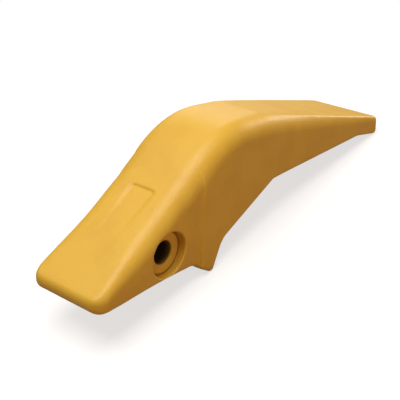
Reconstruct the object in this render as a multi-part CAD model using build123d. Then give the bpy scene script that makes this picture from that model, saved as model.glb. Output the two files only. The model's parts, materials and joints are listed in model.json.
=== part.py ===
from build123d import *
import math
import os

# Bucket tooth adapter: one steel casting that is welded over the lip of a bucket.
# It is drawn in the drawing frame: X runs back along the lip seat, Z is up off the seat, Y is
# across, and the origin is on the axis of the pin bore, in the middle of the casting.
# The retainer recess is on the -Y side. At the end the casting is stood on its heel and its toe.

# Pin bore and retainer recess
pin_dia = 25.0
pin_clearance = 1.0
bore_mouth_radius = 3.0
recess_dia = 52.0
recess_floor_from_middle = 41.0
recess_rim = 1.2
recess_boss_dia = 46.8
recess_groove_depth = 1.8

# Tip of the nose
tip_from_bore = 104.0
tip_width = 100.0
tip_bottom_drop = 29.3
tip_top_drop = 12.5
tip_corner_radius = 16.0
tip_edge_radius = 9.5
tip_side_edge_radius = 9.3
tip_under_radius = 7.5
tip_blend = 42.0

# Nose, which goes into the tooth
nose_width = 101.0
nose_top_slope = 30.4
nose_top_bend_from_bore = 24.0
nose_under_slope = 2.2
nose_under_bend_from_bore = 77.0
nose_under_sweep_radius = 926.0
nose_edge_radius = 20.0
nose_edge_full_from_bore = 20.0
nose_under_radius = 4.0
nose_draft_up = 1.0
nose_draft_down = 3.0
parting_slope = 11.3
parting_lowest_share = 0.35
parting_highest_share = 0.65

# Shoulder, where the nose widens into the body
shoulder_start_from_bore = 40.0
shoulder_from_bore = 53.0
shoulder_lead = 17.0
shoulder_step = 0.6

# Top line of the humped body
hump_start_rise = 85.6
hump_radius = 126.0
hump_back_slope = 6.0
body_edge_radius = 23.0

# Body and strap in plan
body_width = 105.0
waist_width = 99.4
waist_from_bore = 205.0
waist_radius = 400.0
strap_end_width = 107.6
strap_end_from_bore = 443.0
strap_corner_radius = 7.0

# Strap from the side; its end is measured at the foot drop below the bore, where it leans
# forward going up. The blank is the strap before its top is cut flat and its end trimmed.
strap_slope = 14.4
strap_top_rise = 106.1
strap_top_from_bore = 178.0
crease_radius = 40.0
strap_end_radius = 5.0
strap_end_lean = 5.6
strap_end_foot_drop = 20.0
blank_slope = 11.4
blank_spare = 57.0

# Lip seat, bevel, heel and toe
seat_rise = 24.8
seat_start_from_bore = 188.0
seat_corner_radius = 12.0
toe_length = 57.0
toe_slope = 10.9
toe_hollow_radius = 60.0
bevel_slope = 22.5
bevel_end_from_bore = 89.5
knee_radius = 26.0
heel_back_slope = 63.7
heel_drop = 48.6
heel_foot = 5.2
heel_radius = 5.0
heel_front_slope = 33.0
heel_root_from_bore = 42.5
heel_root_radius = 10.0
under_edge_radius = 3.5

# Shallow wedge pocket on top of the nose; its sides narrow to the end width past its front
pocket_rear_from_bore = 15.5
pocket_length = 80.0
pocket_rear_width = 34.0
pocket_end_width = 24.6
pocket_end_overrun = 20.0
pocket_depth = 2.2
pocket_corner_radius = 4.0

# How far cutters reach past what they cut, and the least that is left of a round and a side
cut_margin = 5.0
smallest_round = 0.4
smallest_side = 0.5
tip_round_share = 0.93

# What tells an edge or corner from the others: how near it is, how far out, how upright
found_within = 0.1
side_share = 0.4
upright_limit = 0.97

# Sizes that follow from the ones above
bore_radius = (pin_dia + pin_clearance) / 2
tip_x = -tip_from_bore
seat_end_from_bore = strap_end_from_bore - toe_length
blank_reach = strap_end_from_bore + blank_spare
cut_reach = blank_reach + cut_margin
cut_half_width = strap_end_width / 2 + 5 * cut_margin
cut_top = hump_start_rise + hump_radius
side_view = Plane.XZ
os.makedirs("parts", exist_ok=True)


def rise(slope, run):
    """Height gained on a slope over a run."""
    return run * math.tan(math.radians(slope))


def round_off(radius, depth):
    """Half width of a round of this radius at a depth in from its end."""
    if depth >= radius:
        return radius
    return math.sqrt(radius**2 - (radius - depth) ** 2)


def ease(start, end, x):
    """Share from 0 to 1 that starts and ends level."""
    share = min(1.0, max(0.0, (x - start) / (end - start)))
    return share * share * (3 - 2 * share)


def round_centre(corner, first_way, second_way, radius):
    """Centre of a round between two straight lines that leave a corner at these angles."""
    half_turn = math.radians((first_way - second_way) / 2)
    middle_way = math.radians((first_way + second_way) / 2)
    reach = radius / math.sin(half_turn)
    return Vector(corner[0] + reach * math.cos(middle_way), corner[1] + reach * math.sin(middle_way))


# Top line of the nose: straight from the tip, then a long hollow arc up to the hump
nose_bend = Vector(
    -nose_top_bend_from_bore,
    rise(nose_top_slope, tip_from_bore - nose_top_bend_from_bore) - tip_top_drop,
)
hump_start = Vector(shoulder_from_bore, hump_start_rise)
nose_sweep = TangentArc(nose_bend, hump_start, tangent=Vector(1, rise(nose_top_slope, 1)))
nose_sweep_centre = nose_sweep.arc_center
nose_sweep_radius = nose_sweep.radius
hump_start_slope = math.degrees(math.atan2((nose_sweep % 1).Y, (nose_sweep % 1).X))
tip_round_rise = rise(nose_top_slope, tip_edge_radius) - tip_edge_radius / math.cos(
    math.radians(nose_top_slope)
)
tip_round_end = tip_x + tip_edge_radius * (1 - math.sin(math.radians(nose_top_slope)))


def nose_top_at(x):
    """Height of the nose's top line."""
    if x < tip_round_end:
        return tip_round_rise - tip_top_drop + round_off(tip_edge_radius, x - tip_x)
    if x < nose_bend.X:
        return nose_bend.Y + rise(nose_top_slope, x - nose_bend.X)
    return nose_sweep_centre.Y - math.sqrt(nose_sweep_radius**2 - (x - nose_sweep_centre.X) ** 2)


def nose_under_at(x):
    """Height of the nose's underside, ending in the sweep down to the heel."""
    height = rise(nose_under_slope, x - tip_x) - tip_bottom_drop
    height += tip_edge_radius - round_off(tip_edge_radius, x - tip_x)
    height -= max(0.0, x + nose_under_bend_from_bore) ** 2 / 2 / nose_under_sweep_radius
    root_start = heel_root_from_bore - heel_root_radius / 2
    root_end = heel_root_from_bore + heel_root_radius / 2
    if x > root_end:
        return height - rise(heel_front_slope, x - heel_root_from_bore)
    return height - rise(heel_front_slope, max(0.0, x - root_start) ** 2 / 2 / heel_root_radius)


def nose_half_width_at(x):
    """Half width of the nose at its parting line, ahead of the shoulder."""
    half_width = nose_width / 2 + (nose_width - tip_width) / 2 / tip_from_bore * x
    return half_width - tip_corner_radius + round_off(tip_corner_radius, x - tip_x)


def shoulder_at(x):
    """How far the shoulder has widened the nose, from nothing up to its small last step."""
    widening = body_width / 2 - shoulder_step - nose_half_width_at(shoulder_from_bore)
    return widening * ease(shoulder_start_from_bore, shoulder_from_bore, x)


def top_edge_radius_at(x):
    """Radius of the nose's top edges, which grows from the tip to the body."""
    tip_share = round_off(tip_corner_radius, x - tip_x) / tip_corner_radius
    radius = max(smallest_round, tip_side_edge_radius * tip_share)
    radius += (nose_edge_radius - tip_side_edge_radius) * ease(tip_x, -nose_edge_full_from_bore, x)
    return radius + (body_edge_radius - nose_edge_radius) * ease(0, shoulder_from_bore, x)


def under_edge_radius_at(x):
    """Radius of the nose's lower edges, which shrinks from the tip to the root."""
    radius = nose_under_radius
    radius += (tip_under_radius - nose_under_radius) * (1 - ease(tip_x, tip_x + tip_blend, x))
    tip_limit = tip_round_share * round_off(tip_edge_radius, x - tip_x)
    return max(smallest_round, min(radius, tip_limit))


def nose_section(x):
    """One cross-section of the nose: a parting line on each side and rounded edges."""
    top = nose_top_at(x)
    bottom = nose_under_at(x)
    edge_width = top_edge_radius_at(x)
    under_radius = under_edge_radius_at(x)
    edge_height = edge_width / math.cos(math.radians(nose_top_slope))
    edge_height = min(edge_height, top - bottom - under_radius - smallest_side)
    side_low = bottom + under_radius
    side_high = top - edge_height
    ridge_share = (rise(parting_slope, x) - side_low) / (side_high - side_low)
    ridge_share = min(parting_highest_share, max(parting_lowest_share, ridge_share))
    ridge = side_low + (side_high - side_low) * ridge_share
    half_width = nose_half_width_at(x) + shoulder_at(x)
    high_half_width = nose_half_width_at(x) + shoulder_at(x + shoulder_lead)
    high_half_width -= rise(nose_draft_up, side_high - ridge)
    low_half_width = half_width - rise(nose_draft_down, ridge - side_low)
    top_end = high_half_width - edge_width
    under_end = low_half_width - under_radius
    with BuildSketch(Plane.YZ.offset(x)) as section:
        with BuildLine():
            Line((0, top), (top_end, top))
            EllipticalCenterArc((top_end, side_high), edge_width, edge_height, start_angle=0, arc_size=90)
            Line((high_half_width, side_high), (half_width, ridge))
            Line((half_width, ridge), (low_half_width, side_low))
            CenterArc((under_end, side_low), under_radius, 270, 90)
            Polyline((under_end, bottom), (0, bottom), (0, top))
        make_face()
        mirror(about=Plane.YZ)
    return section.sketch.face()


# Stations of the nose, closest together where it rounds off and where the shoulder ramps out
tip_shares = [0, 0.06, 0.2, 0.43, 0.8]
nose_shares = [0.2, 0.3, 0.42, 0.62, 0.86]
root_shares = [0.2, 0.5, 0.6, 0.7, 0.8, 0.9, 1]
stations = [tip_x + share * tip_corner_radius for share in tip_shares]
stations += [tip_x + share * tip_from_bore for share in nose_shares]
stations += [share * shoulder_from_bore for share in root_shares]
nose = loft([nose_section(x) for x in stations])

# Corners of the body and strap, seen from the side
bevel_low = (
    bevel_end_from_bore,
    seat_rise - rise(bevel_slope, seat_start_from_bore - bevel_end_from_bore),
)
heel_back = (
    bevel_end_from_bore - (bevel_low[1] + heel_drop) / rise(heel_back_slope, 1),
    -heel_drop,
)
heel_front = (heel_back[0] - heel_foot, -heel_drop)
heel_top = (shoulder_from_bore, nose_under_at(shoulder_from_bore))
seat_start = (seat_start_from_bore, seat_rise)
seat_end = (seat_end_from_bore, seat_rise)
toe_reach = (blank_reach, seat_rise - rise(toe_slope, blank_reach - seat_end_from_bore))


def corners_at(sketch, point):
    """The corners of a sketch that sit at one point."""
    return [
        corner
        for corner in sketch.vertices()
        if abs(corner.X - point[0]) < found_within and abs(corner.Y - point[1]) < found_within
    ]


with BuildSketch(side_view) as blank_view:
    with BuildLine():
        hump = JernArc(
            hump_start,
            nose_sweep % 1,
            radius=hump_radius,
            arc_size=-(hump_start_slope + hump_back_slope),
        )
        crease = (
            strap_top_from_bore,
            (hump @ 1).Y - rise(hump_back_slope, strap_top_from_bore - (hump @ 1).X),
        )
        blank_end = (blank_reach, crease[1] - rise(blank_slope, blank_reach - crease[0]))
        Polyline(hump @ 1, crease, blank_end, toe_reach, seat_end, seat_start, bevel_low, heel_back)
        Polyline(heel_back, heel_front, heel_top, hump_start)
    make_face()
    fillet(corners_at(blank_view, seat_start), seat_corner_radius)
    fillet(corners_at(blank_view, bevel_low), knee_radius)
    fillet(corners_at(blank_view, heel_back) + corners_at(blank_view, heel_front), heel_radius)
    fillet(corners_at(blank_view, crease), crease_radius)
    fillet(corners_at(blank_view, seat_end), toe_hollow_radius)

# Plan of the body and strap: narrowest at the waist, widest at the strap's end
strap_flare = (strap_end_width - waist_width) / 2 / (strap_end_from_bore - waist_from_bore)
waist = (waist_from_bore, waist_width / 2)
with BuildSketch(Plane.XY) as body_plan:
    with BuildLine():
        Polyline(
            (shoulder_from_bore, 0),
            (shoulder_from_bore, body_width / 2),
            waist,
            (blank_reach, waist_width / 2 + strap_flare * (blank_reach - waist_from_bore)),
            (blank_reach, 0),
            (shoulder_from_bore, 0),
        )
    make_face()
    fillet(corners_at(body_plan, waist), waist_radius)
    mirror(about=Plane.XZ)

body = extrude(blank_view.sketch, amount=cut_half_width, both=True)
body = body & extrude(body_plan.sketch, amount=cut_top, both=True)


def is_side_edge(edge):
    """Whether an edge runs along one of the body's sides, and not up and down it."""
    centre = edge.center()
    on_side = abs(centre.Y) > side_share * body_width
    between_ends = shoulder_from_bore + smallest_side < centre.X < blank_reach - cut_margin
    return on_side and between_ends and abs(edge.tangent_at(0.5).Z) < upright_limit


# The casting's soft top edges, then its tighter lower ones
top_edges = [edge for edge in body.edges() if is_side_edge(edge) and edge.center().Z > 2 * seat_rise]
body = fillet(top_edges, body_edge_radius)
low_limit = seat_rise + under_edge_radius
low_edges = [edge for edge in body.edges() if is_side_edge(edge) and edge.center().Z < low_limit]
body = fillet(low_edges, under_edge_radius)
casting = body + nose

# Strap: one flat top cut through the rounded blank, then the leaning end trimmed
strap_cut_front = strap_top_from_bore - crease_radius
strap_cut_start = (strap_cut_front, strap_top_rise + rise(strap_slope, crease_radius))
strap_cut_end = (cut_reach, strap_top_rise - rise(strap_slope, cut_reach - strap_top_from_bore))
with BuildSketch(side_view) as strap_cut:
    with BuildLine():
        Polyline(strap_cut_start, strap_cut_end, (cut_reach, cut_top))
        Polyline((cut_reach, cut_top), (strap_cut_front, cut_top), strap_cut_start)
    make_face()
casting = casting - extrude(strap_cut.sketch, amount=cut_half_width, both=True)
end_low = (strap_end_from_bore, -strap_end_foot_drop)
end_high = (strap_end_from_bore - rise(strap_end_lean, cut_top + strap_end_foot_drop), cut_top)
with BuildSketch(side_view) as end_cut:
    with BuildLine():
        Polyline(end_low, end_high, (cut_reach, cut_top), (cut_reach, end_low[1]), end_low)
    make_face()
casting = casting - extrude(end_cut.sketch, amount=cut_half_width, both=True)

# The end's sides and bottom get one round all along, and its top edge a smaller one
end_edges = casting.faces().sort_by(Axis.X)[-1].edges()
side_edges = [edge for edge in end_edges if abs(edge.center().Y) > side_share * strap_end_width]
casting = fillet(side_edges, strap_corner_radius)
end_edges = casting.faces().sort_by(Axis.X)[-1].edges()
casting = fillet(end_edges.sort_by(Axis.Z)[-1], strap_end_radius)

# Retainer recess and pin bore, turned about the pin axis, with a chamfered rim
groove = recess_floor_from_middle - recess_groove_depth
turned_reach = body_width / 2 + cut_margin
rim_start = nose_half_width_at(0) - recess_rim
bore_mouth = (bore_radius, -recess_floor_from_middle)
with BuildSketch(Plane.XY) as recess_profile:
    with BuildLine():
        Polyline(
            (0, -turned_reach),
            (recess_dia / 2 + turned_reach - rim_start, -turned_reach),
            (recess_dia / 2, -rim_start),
            (recess_dia / 2, -groove),
            (recess_boss_dia / 2, -groove),
            (recess_boss_dia / 2, -recess_floor_from_middle),
            bore_mouth,
            (bore_radius, turned_reach),
            (0, turned_reach),
            (0, -turned_reach),
        )
    make_face()
    fillet(corners_at(recess_profile, bore_mouth), bore_mouth_radius)
casting = casting - revolve(recess_profile.sketch, Axis.Y)

# Wedge pocket: its floor starts level with the nose's top in front and sinks towards the rear
pocket_front_x = pocket_rear_from_bore - pocket_length
pocket_front = Vector(pocket_front_x, 0, nose_top_at(pocket_front_x))
pocket_sink = pocket_depth / math.cos(math.radians(nose_top_slope))
pocket_rear = Vector(pocket_rear_from_bore, 0, nose_top_at(pocket_rear_from_bore) - pocket_sink)
along = pocket_rear - pocket_front
pocket_floor = Plane(origin=pocket_rear, x_dir=along, z_dir=Vector(-along.Z, 0, along.X))
pocket_end = -along.length - pocket_end_overrun
with BuildSketch(pocket_floor) as pocket_plan:
    with BuildLine():
        Polyline(
            (0, -pocket_rear_width / 2),
            (0, pocket_rear_width / 2),
            (pocket_end, pocket_end_width / 2),
            (pocket_end, -pocket_end_width / 2),
            (0, -pocket_rear_width / 2),
        )
    make_face()
    fillet(pocket_plan.vertices().sort_by(Axis.X)[-2:], pocket_corner_radius)
casting = casting - extrude(pocket_plan.sketch, amount=3 * cut_margin)

# Stand the casting on the round of its heel and the round of its toe
lean = rise(strap_end_lean, 1)
toe_fall = rise(toe_slope, 1)
toe_corner_x = strap_end_from_bore - lean * (seat_rise + toe_fall * seat_end_from_bore - end_low[1])
toe_corner_x = toe_corner_x / (1 - lean * toe_fall)
toe_corner = (toe_corner_x, seat_rise - toe_fall * (toe_corner_x - seat_end_from_bore))
heel_centre = round_centre(heel_back, 180, heel_back_slope, heel_radius)
toe_centre = round_centre(toe_corner, 180 - toe_slope, 90 + strap_end_lean, strap_corner_radius)
span = toe_centre - heel_centre
stand_angle = math.atan2(span.Y, span.X) - math.asin((strap_corner_radius - heel_radius) / span.length)
casting = casting.rotate(Axis.Y, math.degrees(stand_angle))

# The origin is below the middle of the casting, on the floor
box = casting.bounding_box()
casting = casting.translate((-box.center().X, -box.center().Y, -box.min.Z))

export_step(casting, "parts/adapter_casting.step")
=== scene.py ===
import json
import math

import bpy
from mathutils import Matrix, Vector


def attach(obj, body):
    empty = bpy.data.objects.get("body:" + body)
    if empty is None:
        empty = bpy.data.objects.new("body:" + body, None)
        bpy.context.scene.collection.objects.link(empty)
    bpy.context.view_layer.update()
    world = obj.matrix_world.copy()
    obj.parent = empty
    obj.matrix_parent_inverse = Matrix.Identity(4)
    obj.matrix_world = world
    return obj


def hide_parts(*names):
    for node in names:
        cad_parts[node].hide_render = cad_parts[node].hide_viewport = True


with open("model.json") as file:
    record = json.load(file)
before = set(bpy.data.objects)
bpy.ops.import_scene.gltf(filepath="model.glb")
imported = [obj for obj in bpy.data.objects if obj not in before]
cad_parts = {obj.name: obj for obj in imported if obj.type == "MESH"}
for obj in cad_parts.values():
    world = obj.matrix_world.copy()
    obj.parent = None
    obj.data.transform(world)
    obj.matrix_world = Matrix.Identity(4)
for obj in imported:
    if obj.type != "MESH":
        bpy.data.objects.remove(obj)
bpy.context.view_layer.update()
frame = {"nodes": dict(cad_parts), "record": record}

bl_info = {
    "name": "Bucket Tooth Adapter",
    "version": (1, 0, 0),
    "blender": (4, 5, 0),
    "location": "View3D > Sidebar > Adapter",
    "description": "Makes the cast tooth adapter's skin, paints it and sets its studio",
    "category": "Object",
}

CASTING = "adapter_casting"
MM = 0.001
MOUNTS = {mount["name"]: mount for mount in frame["record"]["mounts"]}
BORE = Vector(MOUNTS["pin_bore"]["pos_m"])
BORE_RADIUS = MOUNTS["pin_bore"]["dims"]["r_mm"] * MM
ACROSS = Vector((0.0, 1.0, 0.0))
UP = Vector((0.0, 0.0, 1.0))
SEAT_UP = -Vector(MOUNTS["lip_seat"]["axis"])
SEAT_BACK = ACROSS.cross(SEAT_UP)

# Sockets of the colour mix node, which has one set for each type of data
MIX_SHARE = 0
MIX_FIRST = 6
MIX_SECOND = 7
MIX_RESULT = 2

# Noise levels at which the paint goes from thin to thick
THIN_LEVEL = 0.35
THICK_LEVEL = 0.62

# Pointiness is 0.5 on a flat, more on a corner and less in a hollow
CORNER_START = 0.515
CORNER_FULL = 0.545
HOLLOW_FULL = 0.464
HOLLOW_END = 0.490
HOLLOW_SHADE_SHARE = 0.85

# Noise levels of the low and the high grain, how much worn paint and painted highlight lies on an edge
# there, and how much duller and shinier the paint is there
LOW_GRAIN = 0.30
HIGH_GRAIN = 0.70
LOW_WORN_HIGHLIGHT = 0.20
HIGH_WORN_HIGHLIGHT = 0.60
DULL_GRAIN = 0.25
SHINY_GRAIN = 0.75
DULLER = 0.08
SHINIER = 0.06

# The paint ends on the rim of the bore, and inside it the wall is painted dark as shade, darker deep inside
# than at its mouths
RIM_INNER = BORE_RADIUS + 0.2 * MM
RIM_OUTER = BORE_RADIUS + 1.2 * MM
DARK_TO = 30 * MM
MOUTH_FROM = 41 * MM
MOUTH_SHARE = 0.6

# The skin: points closer than this are one, and each smoothing pass moves them by this share
MERGE_WITHIN = 0.01 * MM
PASS_SHARE = 0.5

# The lit floor's grey is lifted by this much, so that with its glow it meets the white around it
FLOOR_LIFT = 1.25
FLOOR_SIZE = 12.0
SHADOW_KEPT_TO = 0.30
WHITE_FROM = 0.60

SENSOR_WIDTH_MM = 36.0
NEAREST_SEEN = 0.05
FARTHEST_SEEN = 20.0

LAMP_AIM = Vector((0.0, 0.0, 0.08))
LAMPS = {
    "Key": {"place": (-0.32, 0.06, 1.78), "size": 1.5, "colour": (1.0, 0.98, 0.92)},
    "Back": {"place": (1.45, 1.15, 0.62), "size": 0.8, "colour": (1.0, 0.98, 0.92)},
    "Rim": {"place": (2.10, -0.10, 0.42), "size": 0.3, "colour": (1.0, 0.95, 0.85)},
    "Fill": {"place": (-0.20, -1.70, 0.40), "size": 0.9, "colour": (1.0, 0.72, 0.42)},
}


class AdapterPaint(bpy.types.PropertyGroup):
    """The ochre paint over the sand-cast skin."""

    colour: bpy.props.FloatVectorProperty(
        name="Paint", description="Colour of the ochre paint", subtype="COLOR",
        size=3, min=0.0, max=1.0, default=(0.74, 0.428, 0.041),
    )
    thin_colour: bpy.props.FloatVectorProperty(
        name="Thin paint", description="Colour where the paint lies thinner", subtype="COLOR",
        size=3, min=0.0, max=1.0, default=(0.70, 0.396, 0.036),
    )
    # Worn paint along the edges, lightened further as a painted highlight
    worn_highlight_colour: bpy.props.FloatVectorProperty(
        name="Worn paint and highlight", description="Colour of worn paint and painted highlight along the edges",
        subtype="COLOR", size=3, min=0.0, max=1.0, default=(0.86, 0.60, 0.16),
    )
    # Painted shade laid into the hollows
    hollow_shade_colour: bpy.props.FloatVectorProperty(
        name="Hollow shade", description="Colour of the painted shade in the hollows",
        subtype="COLOR", size=3, min=0.0, max=1.0, default=(0.30, 0.135, 0.015),
    )
    # Painted shade over the wall of the bore
    bore_shade_colour: bpy.props.FloatVectorProperty(
        name="Bore", description="Colour of the painted shade on the wall of the bore", subtype="COLOR",
        size=3, min=0.0, max=1.0, default=(0.055, 0.032, 0.013),
    )
    roughness: bpy.props.FloatProperty(
        name="Roughness", description="How dull the dry paint is", default=0.46, min=0.0, max=1.0,
    )
    patch_size: bpy.props.FloatProperty(
        name="Patch size", description="Size of the uneven patches in the paint",
        default=45 * MM, unit="LENGTH",
    )
    wave_size: bpy.props.FloatProperty(
        name="Wave size", description="Size of the shallow waves that the mould leaves",
        default=16 * MM, unit="LENGTH",
    )
    wave_depth: bpy.props.FloatProperty(
        name="Wave depth", description="Depth of the shallow waves that the mould leaves",
        default=0.35 * MM, unit="LENGTH",
    )
    grain_size: bpy.props.FloatProperty(
        name="Grain size", description="Size of the sand grain in the cast skin",
        default=2.2 * MM, unit="LENGTH",
    )
    grain_depth: bpy.props.FloatProperty(
        name="Grain depth", description="Depth of the sand grain in the cast skin",
        default=0.25 * MM, unit="LENGTH",
    )


class AdapterSkin(bpy.types.PropertyGroup):
    """The cast skin: how fine its mesh is and how softly the mould rounds its corners."""

    cell: bpy.props.FloatProperty(
        name="Cell", description="Cell of the fine mesh that the skin is made from",
        default=0.85 * MM, unit="LENGTH",
    )
    passes: bpy.props.IntProperty(
        name="Passes", description="Smoothing passes over the whole casting", default=4, min=0,
    )
    shoulder_passes: bpy.props.IntProperty(
        name="Shoulder passes", description="More smoothing passes over the shoulder", default=10, min=0,
    )
    pocket_passes: bpy.props.IntProperty(
        name="Pocket passes", description="More smoothing passes over the shallow pocket on the nose",
        default=26, min=0,
    )
    kept_share: bpy.props.FloatProperty(
        name="Kept share", description="Share of the fine mesh's faces that is kept",
        default=0.28, min=0.05, max=1.0,
    )
    shoulder_start: bpy.props.FloatProperty(
        name="Shoulder start", description="Where the shoulder starts, back from the pin bore",
        default=30 * MM, unit="LENGTH",
    )
    shoulder_end: bpy.props.FloatProperty(
        name="Shoulder end", description="Where the shoulder ends, back from the pin bore",
        default=66 * MM, unit="LENGTH",
    )
    pocket_reach: bpy.props.FloatProperty(
        name="Pocket reach", description="Half the width of the band across the nose that holds the pocket",
        default=36 * MM, unit="LENGTH",
    )
    tip_reach: bpy.props.FloatProperty(
        name="Tip reach", description="Length of the nose ahead of the bore that holds the pocket",
        default=110 * MM, unit="LENGTH",
    )


class AdapterStudio(bpy.types.PropertyGroup):
    """The camera, the floor and the lamps."""

    camera_azimuth: bpy.props.FloatProperty(
        name="Camera azimuth", description="Turn of the view from looking across the casting",
        default=math.radians(51.89), subtype="ANGLE",
    )
    camera_elevation: bpy.props.FloatProperty(
        name="Camera elevation", description="Height of the camera above the lip seat's plane",
        default=math.radians(25.33), subtype="ANGLE",
    )
    camera_roll: bpy.props.FloatProperty(
        name="Camera roll", description="Turn of the picture about the line of sight",
        default=math.radians(1.82), subtype="ANGLE",
    )
    camera_place: bpy.props.FloatVectorProperty(
        name="Camera place", description="Camera back along the seat, aside and up from the pin bore",
        size=3, default=(-577.5 * MM, -540.2 * MM, 423.2 * MM), subtype="TRANSLATION",
    )
    lens: bpy.props.FloatProperty(
        name="Lens", description="Focal length on a 36 mm wide picture, in millimetres", default=75.15,
    )
    sky_colour: bpy.props.FloatVectorProperty(
        name="Sky", description="Colour of the light from all round", subtype="COLOR",
        size=3, min=0.0, max=1.0, default=(1.0, 0.94, 0.82),
    )
    sky_strength: bpy.props.FloatProperty(
        name="Sky strength", description="Light from all round", default=0.11, min=0.0,
    )
    ground_colour: bpy.props.FloatVectorProperty(
        name="Ground", description="Colour that the floor throws back on the casting", subtype="COLOR",
        size=3, min=0.0, max=1.0, default=(0.31, 0.18, 0.08),
    )
    gloss_share: bpy.props.FloatProperty(
        name="Gloss share", description="How much of the white surroundings shows in gloss",
        default=0.22, min=0.0, max=1.0,
    )
    floor_glow: bpy.props.FloatProperty(
        name="Floor glow", description="How far the floor is lifted to white under the shadow",
        default=0.68, min=0.0, max=1.0,
    )
    key_power: bpy.props.FloatProperty(
        name="Key power", description="Power of the large lamp overhead, in watts",
        default=36.0, min=0.0,
    )
    back_power: bpy.props.FloatProperty(
        name="Back power", description="Power of the lamp behind the far side, in watts",
        default=5.0, min=0.0,
    )
    rim_power: bpy.props.FloatProperty(
        name="Rim power", description="Power of the low lamp behind the strap, in watts",
        default=10.0, min=0.0,
    )
    fill_power: bpy.props.FloatProperty(
        name="Fill power", description="Power of the lamp that fills the near side, in watts",
        default=5.7, min=0.0,
    )


def add_node(tree, kind, **settings):
    """A new node of a kind, with its named settings."""
    node = tree.nodes.new(kind)
    for name, value in settings.items():
        setattr(node, name, value)
    return node


def plug(tree, node, name, value):
    """Gives a node's input a constant or the output of another node."""
    if isinstance(value, bpy.types.NodeSocket):
        tree.links.new(value, node.inputs[name])
    else:
        node.inputs[name].default_value = value


def noise(tree, place, size, detail):
    """A noise pattern with features of about this size."""
    node = add_node(tree, "ShaderNodeTexNoise")
    plug(tree, node, "Vector", place)
    plug(tree, node, "Scale", 1.0 / size)
    plug(tree, node, "Detail", detail)
    return node.outputs["Fac"]


def ranged(tree, value, start, end, low, high):
    """A value taken smoothly from one range to another."""
    node = add_node(tree, "ShaderNodeMapRange", interpolation_type="SMOOTHSTEP")
    plug(tree, node, "Value", value)
    plug(tree, node, "From Min", start)
    plug(tree, node, "From Max", end)
    plug(tree, node, "To Min", low)
    plug(tree, node, "To Max", high)
    return node.outputs["Result"]


def blended(tree, share, first, second):
    """Two colours mixed by a share."""
    node = add_node(tree, "ShaderNodeMix", data_type="RGBA")
    plug(tree, node, MIX_SHARE, share)
    plug(tree, node, MIX_FIRST, first)
    plug(tree, node, MIX_SECOND, second)
    return node.outputs[MIX_RESULT]


def worked(tree, operation, first, second=0.0):
    """A math operation on one or two numbers."""
    node = add_node(tree, "ShaderNodeMath", operation=operation)
    plug(tree, node, 0, first)
    plug(tree, node, 1, second)
    return node.outputs[0]


def bumped(tree, height, depth, normal):
    """A surface normal with a height pattern of this depth on it."""
    node = add_node(tree, "ShaderNodeBump")
    plug(tree, node, "Height", height)
    plug(tree, node, "Distance", depth)
    plug(tree, node, "Normal", normal)
    return node.outputs["Normal"]


def from_bore_axis(tree, place):
    """How far a point of the surface is from the axis of the pin bore."""
    offset = add_node(tree, "ShaderNodeVectorMath", operation="SUBTRACT")
    plug(tree, offset, 0, place)
    plug(tree, offset, 1, BORE)
    flat = add_node(tree, "ShaderNodeVectorMath", operation="MULTIPLY")
    plug(tree, flat, 0, offset.outputs[0])
    plug(tree, flat, 1, (1.0, 0.0, 1.0))
    length = add_node(tree, "ShaderNodeVectorMath", operation="LENGTH")
    plug(tree, length, 0, flat.outputs[0])
    return length.outputs["Value"]


def cast_paint(settings):
    """Satin ochre paint over a fine sand-cast skin, with worn paint and a painted highlight on the edges,
    painted shade in the hollows, and the wall inside the bore painted dark as shade.
    """
    material = bpy.data.materials.new("Ochre cast paint")
    material.use_nodes = True
    tree = material.node_tree
    shader = tree.nodes["Principled BSDF"]
    place = add_node(tree, "ShaderNodeTexCoord").outputs["Object"]
    patches = noise(tree, place, settings.patch_size, 4.0)
    waves = noise(tree, place, settings.wave_size, 2.0)
    grain = noise(tree, place, settings.grain_size, 3.0)
    surface = add_node(tree, "ShaderNodeNewGeometry")
    turn = surface.outputs["Pointiness"]

    thick = ranged(tree, patches, THIN_LEVEL, THICK_LEVEL, 0.0, 1.0)
    paint = blended(tree, thick, (*settings.thin_colour, 1.0), (*settings.colour, 1.0))
    # Corners are painted lighter: partly worn paint, partly a painted highlight
    corner = ranged(tree, turn, CORNER_START, CORNER_FULL, 0.0, 1.0)
    uneven = ranged(tree, grain, LOW_GRAIN, HIGH_GRAIN, LOW_WORN_HIGHLIGHT, HIGH_WORN_HIGHLIGHT)
    worn_highlight = worked(tree, "MULTIPLY", corner, uneven)
    paint = blended(tree, worn_highlight, paint, (*settings.worn_highlight_colour, 1.0))
    # Hollows are painted darker: painted shade
    hollow = ranged(tree, turn, HOLLOW_FULL, HOLLOW_END, HOLLOW_SHADE_SHARE, 0.0)
    paint = blended(tree, hollow, paint, (*settings.hollow_shade_colour, 1.0))
    # The wall of the bore is painted near-black as painted shade, darkest deep inside
    radius = from_bore_axis(tree, place)
    inside = ranged(tree, radius, RIM_INNER, RIM_OUTER, 1.0, 0.0)
    parts = add_node(tree, "ShaderNodeSeparateXYZ")
    plug(tree, parts, "Vector", place)
    aside = worked(tree, "ABSOLUTE", parts.outputs["Y"])
    darkness = ranged(tree, aside, DARK_TO, MOUTH_FROM, 1.0, MOUTH_SHARE)
    bore_shade = worked(tree, "MULTIPLY", inside, darkness)
    plug(tree, shader, "Base Color", blended(tree, bore_shade, paint, (*settings.bore_shade_colour, 1.0)))

    dull = settings.roughness + DULLER
    shiny = settings.roughness - SHINIER
    plug(tree, shader, "Roughness", ranged(tree, grain, DULL_GRAIN, SHINY_GRAIN, dull, shiny))
    normal = bumped(tree, waves, settings.wave_depth, surface.outputs["Normal"])
    plug(tree, shader, "Normal", bumped(tree, grain, settings.grain_depth, normal))
    plug(tree, shader, "Specular IOR Level", 0.5)
    return material


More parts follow.
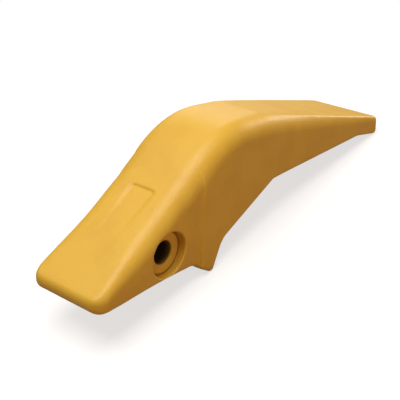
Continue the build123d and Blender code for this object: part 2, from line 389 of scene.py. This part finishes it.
def seen_share(tree, gloss_share):
    """1 for the camera and through glass, and the gloss share where gloss shows the surroundings."""
    ray = add_node(tree, "ShaderNodeLightPath")
    gloss = worked(tree, "MULTIPLY", ray.outputs["Is Glossy Ray"], gloss_share)
    seen = worked(tree, "MAXIMUM", ray.outputs["Is Camera Ray"], ray.outputs["Is Transmission Ray"])
    return worked(tree, "MAXIMUM", seen, gloss)


def mixed_shader(tree, share, first, second):
    """Two shaders mixed by a share."""
    node = add_node(tree, "ShaderNodeMixShader")
    plug(tree, node, 0, share)
    tree.links.new(first, node.inputs[1])
    tree.links.new(second, node.inputs[2])
    return node.outputs["Shader"]


def pale_floor(settings):
    """A floor that looks white, keeps the shadow, and throws a warm tan light on the casting."""
    material = bpy.data.materials.new("Pale floor")
    material.use_nodes = True
    tree = material.node_tree
    tree.nodes.clear()
    output = add_node(tree, "ShaderNodeOutputMaterial")
    place = add_node(tree, "ShaderNodeTexCoord").outputs["Object"]
    length = add_node(tree, "ShaderNodeVectorMath", operation="LENGTH")
    plug(tree, length, 0, place)
    ground = add_node(tree, "ShaderNodeBsdfDiffuse")
    plug(tree, ground, "Color", (*settings.ground_colour, 1.0))
    pale = add_node(tree, "ShaderNodeBsdfDiffuse")
    shade = FLOOR_LIFT * (1.0 - settings.floor_glow)
    plug(tree, pale, "Color", (shade, shade, shade, 1.0))
    glow = add_node(tree, "ShaderNodeEmission")
    plug(tree, glow, "Strength", settings.floor_glow)
    shadowed = add_node(tree, "ShaderNodeAddShader")
    tree.links.new(pale.outputs[0], shadowed.inputs[0])
    tree.links.new(glow.outputs[0], shadowed.inputs[1])
    white = add_node(tree, "ShaderNodeEmission")
    plug(tree, white, "Strength", 1.0)
    far = ranged(tree, length.outputs["Value"], SHADOW_KEPT_TO, WHITE_FROM, 0.0, 1.0)
    seen = mixed_shader(tree, far, shadowed.outputs[0], white.outputs[0])
    share = seen_share(tree, settings.gloss_share)
    tree.links.new(mixed_shader(tree, share, ground.outputs[0], seen), output.inputs["Surface"])
    return material


def seat_frame():
    """Turns places given along the lip seat, from the pin bore, into the model's own frame."""
    up = SEAT_UP.normalized()
    turn = Matrix((ACROSS.cross(up), ACROSS, up)).transposed().to_4x4()
    return Matrix.Translation(Vector((BORE.x, 0, BORE.z))) @ turn


def add_camera(settings):
    """The camera, where the photograph was taken from, as measured from the pin bore."""
    azimuth = settings.camera_azimuth
    elevation = settings.camera_elevation
    forward = Vector((
        math.sin(azimuth) * math.cos(elevation),
        math.cos(azimuth) * math.cos(elevation),
        -math.sin(elevation),
    ))
    level_right = forward.cross(UP).normalized()
    level_up = level_right.cross(forward)
    roll = settings.camera_roll
    right = level_right * math.cos(roll) + level_up * math.sin(roll)
    up = right.cross(forward)
    pose = Matrix((right, up, -forward)).transposed().to_4x4()
    pose.translation = settings.camera_place
    bpy.ops.object.camera_add()
    camera = bpy.context.object
    camera.name = "Camera"
    camera.matrix_world = seat_frame() @ pose
    camera.data.lens = settings.lens
    camera.data.sensor_width = SENSOR_WIDTH_MM
    camera.data.clip_start = NEAREST_SEEN
    camera.data.clip_end = FARTHEST_SEEN
    bpy.context.scene.camera = camera


def add_lamp(name, power):
    """A square soft lamp that faces the casting."""
    about = LAMPS[name]
    bpy.ops.object.light_add(type="AREA", location=about["place"])
    lamp = bpy.context.object
    lamp.name = name
    lamp.data.size = about["size"]
    lamp.data.energy = power
    lamp.data.color = about["colour"]
    aim = LAMP_AIM - lamp.location
    lamp.rotation_euler = aim.to_track_quat("-Z", "Y").to_euler()


def white_world(settings):
    """A dim warm sky that looks white to the camera."""
    world = bpy.data.worlds.new("Studio")
    world.use_nodes = True
    tree = world.node_tree
    sky = tree.nodes["Background"]
    plug(tree, sky, "Color", (*settings.sky_colour, 1.0))
    plug(tree, sky, "Strength", settings.sky_strength)
    white = add_node(tree, "ShaderNodeBackground")
    plug(tree, white, "Color", (1.0, 1.0, 1.0, 1.0))
    plug(tree, white, "Strength", 1.0)
    share = seen_share(tree, settings.gloss_share)
    shown = mixed_shader(tree, share, sky.outputs[0], white.outputs[0])
    tree.links.new(shown, tree.nodes["World Output"].inputs["Surface"])
    return world


def select_alone(piece):
    """Makes a piece the only selected one, and the active one."""
    bpy.ops.object.select_all(action="DESELECT")
    piece.select_set(True)
    bpy.context.view_layer.objects.active = piece


def apply_modifier(piece, kind, **settings):
    """Adds a modifier with its settings and applies it at once."""
    modifier = piece.modifiers.new(kind.title(), kind)
    for name, value in settings.items():
        setattr(modifier, name, value)
    bpy.ops.object.modifier_apply(modifier=modifier.name)


def group_points(piece, name, belongs):
    """Puts the points for which a test holds in a named group."""
    group = piece.vertex_groups.new(name=name)
    chosen = [point.index for point in piece.data.vertices if belongs(point.co)]
    group.add(chosen, 1.0, "REPLACE")


def smooth(piece, passes, group=""):
    """Smooths a piece, or one named group of its points."""
    apply_modifier(piece, "SMOOTH", factor=PASS_SHARE, iterations=passes, vertex_group=group)


def cast_skin(settings):
    """The casting as the mould leaves it: its mesh made fine and even, and its corners soft."""
    select_alone(frame["nodes"][CASTING])
    bpy.ops.object.duplicate()
    skin = bpy.context.object
    skin.name = "cast_skin"
    select_alone(skin)
    bpy.ops.object.mode_set(mode="EDIT")
    bpy.ops.mesh.select_all(action="SELECT")
    bpy.ops.mesh.remove_doubles(threshold=MERGE_WITHIN)
    bpy.ops.object.mode_set(mode="OBJECT")
    apply_modifier(skin, "REMESH", mode="VOXEL", voxel_size=settings.cell, use_smooth_shade=True)

    def on_shoulder(point):
        return settings.shoulder_start < (point - BORE).dot(SEAT_BACK) < settings.shoulder_end

    def round_pocket(point):
        back = (point - BORE).dot(SEAT_BACK)
        on_top = (point - BORE).dot(SEAT_UP) > 0 and abs(point.y) < settings.pocket_reach
        return on_top and -settings.tip_reach < back < settings.shoulder_end

    group_points(skin, "Shoulder", on_shoulder)
    group_points(skin, "Pocket", round_pocket)
    smooth(skin, settings.passes)
    smooth(skin, settings.shoulder_passes, "Shoulder")
    smooth(skin, settings.pocket_passes, "Pocket")
    apply_modifier(skin, "DECIMATE", ratio=settings.kept_share)
    bpy.ops.object.shade_smooth()
    return skin


class ADAPTER_OT_casting(bpy.types.Operator):
    """Make the casting's skin and paint it"""

    bl_idname = "adapter.casting"
    bl_label = "Casting"

    def execute(self, context):
        skin = cast_skin(context.scene.adapter_skin)
        skin.data.materials.clear()
        skin.data.materials.append(cast_paint(context.scene.adapter_paint))
        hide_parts(CASTING)
        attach(skin, "root")
        return {"FINISHED"}


class ADAPTER_OT_stage(bpy.types.Operator):
    """Set the floor, the lamps and the camera"""

    bl_idname = "adapter.stage"
    bl_label = "Stage"

    def execute(self, context):
        settings = context.scene.adapter_studio
        bpy.ops.object.select_all(action="DESELECT")
        bpy.ops.mesh.primitive_plane_add(size=FLOOR_SIZE, location=(0, 0, 0))
        floor = context.object
        floor.name = "Floor"
        floor.data.materials.append(pale_floor(settings))
        context.scene.world = white_world(settings)
        add_lamp("Key", settings.key_power)
        add_lamp("Back", settings.back_power)
        add_lamp("Rim", settings.rim_power)
        add_lamp("Fill", settings.fill_power)
        add_camera(settings)
        return {"FINISHED"}


class ADAPTER_PT_panel(bpy.types.Panel):
    """The adapter's pieces and its stage"""

    bl_label = "Tooth adapter"
    bl_idname = "ADAPTER_PT_panel"
    bl_space_type = "VIEW_3D"
    bl_region_type = "UI"
    bl_category = "Adapter"

    def draw(self, context):
        layout = self.layout
        scene = context.scene
        for settings in (scene.adapter_skin, scene.adapter_paint, scene.adapter_studio):
            for name in settings.bl_rna.properties.keys():
                if name not in ("rna_type", "name"):
                    layout.prop(settings, name)
        layout.operator(ADAPTER_OT_casting.bl_idname)
        layout.operator(ADAPTER_OT_stage.bl_idname)


CLASSES = (
    AdapterSkin,
    AdapterPaint,
    AdapterStudio,
    ADAPTER_OT_casting,
    ADAPTER_OT_stage,
    ADAPTER_PT_panel,
)


def register():
    """Makes the settings, the operators and the panel known."""
    for cls in CLASSES:
        bpy.utils.register_class(cls)
    bpy.types.Scene.adapter_skin = bpy.props.PointerProperty(type=AdapterSkin)
    bpy.types.Scene.adapter_paint = bpy.props.PointerProperty(type=AdapterPaint)
    bpy.types.Scene.adapter_studio = bpy.props.PointerProperty(type=AdapterStudio)


def unregister():
    """Takes the settings, the operators and the panel away again."""
    del bpy.types.Scene.adapter_studio
    del bpy.types.Scene.adapter_paint
    del bpy.types.Scene.adapter_skin
    for cls in reversed(CLASSES):
        bpy.utils.unregister_class(cls)


def main():
    """Makes and paints the casting's skin and sets the stage."""
    register()
    bpy.context.scene.view_settings.view_transform = "Standard"
    bpy.ops.adapter.casting()
    bpy.ops.adapter.stage()


if __name__ == "__main__":
    main()
